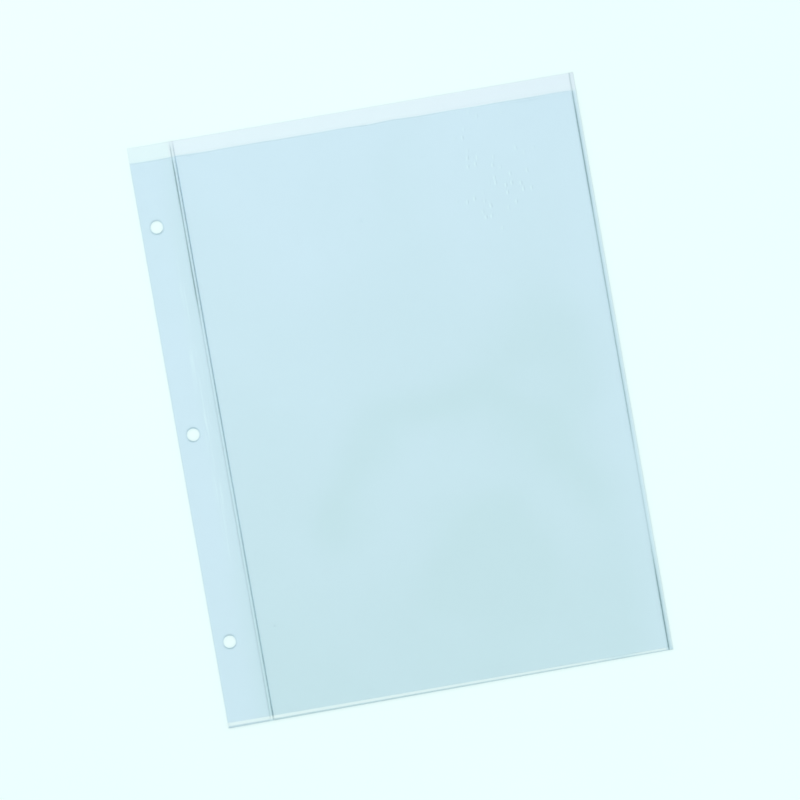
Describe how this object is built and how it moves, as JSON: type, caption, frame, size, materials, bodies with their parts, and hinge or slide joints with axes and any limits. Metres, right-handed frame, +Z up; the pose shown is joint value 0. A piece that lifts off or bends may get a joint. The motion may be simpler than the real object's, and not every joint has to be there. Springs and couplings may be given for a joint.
{
  "type": "sheet protector",
  "caption": "Clear film sheet protector: a flat pocket open at the top under a lip that lifts, welded at the side and bottom, with a punched binding margin that folds along a beaded seam.",
  "frame": {"origin": "middle of the page's outline, on the surface that the back film lies on", "axes": "+X across the page from the binding margin to the side weld, +Y up the page to the pocket's mouth, +Z up out of the front film"},
  "size_m": [0.2326, 0.302, 0.0006],
  "materials": {
    "clear_film": "glossy, clear with a pale blue tint",
    "film_weld": "glossy, pressed, a little darker than the film"
  },
  "bodies": {
    "pocket": {"pocket_back_film": "clear_film", "pocket_front_film": "clear_film", "side_weld": "film_weld", "bottom_weld": "film_weld"},
    "binding_margin": {"binding_back_film": "clear_film", "binding_front_film": "clear_film", "binding_bottom_weld": "film_weld", "seam_weld": "film_weld"},
    "lip_left": {"mouth_lip_left": "clear_film"},
    "lip_right": {"mouth_lip_right": "clear_film"}
  },
  "joints": [
    {"name": "page_fold", "type": "hinge", "parent": "pocket", "child": "binding_margin", "pos_m": [-0.09285, 0, 0.0003], "axis": [0, 1, 0], "range_deg": [-145, 145]},
    {"name": "lip_left_bend", "type": "hinge", "parent": "pocket", "child": "lip_left", "pos_m": [-0.04053, 0.12014, 0.0006], "axis": [0.9146, -0.4043, 0], "range_deg": [0, 12], "stiffness_Nm_per_rad": 0.002},
    {"name": "lip_right_bend", "type": "hinge", "parent": "pocket", "child": "lip_right", "pos_m": [0.06239, 0.11965, 0.0006], "axis": [0.9178, 0.397, 0], "range_deg": [0, 12], "stiffness_Nm_per_rad": 0.002}
  ],
  "couplings": [
    {"joint": "lip_right_bend", "follows": "lip_left_bend", "ratio": 1}
  ]
}
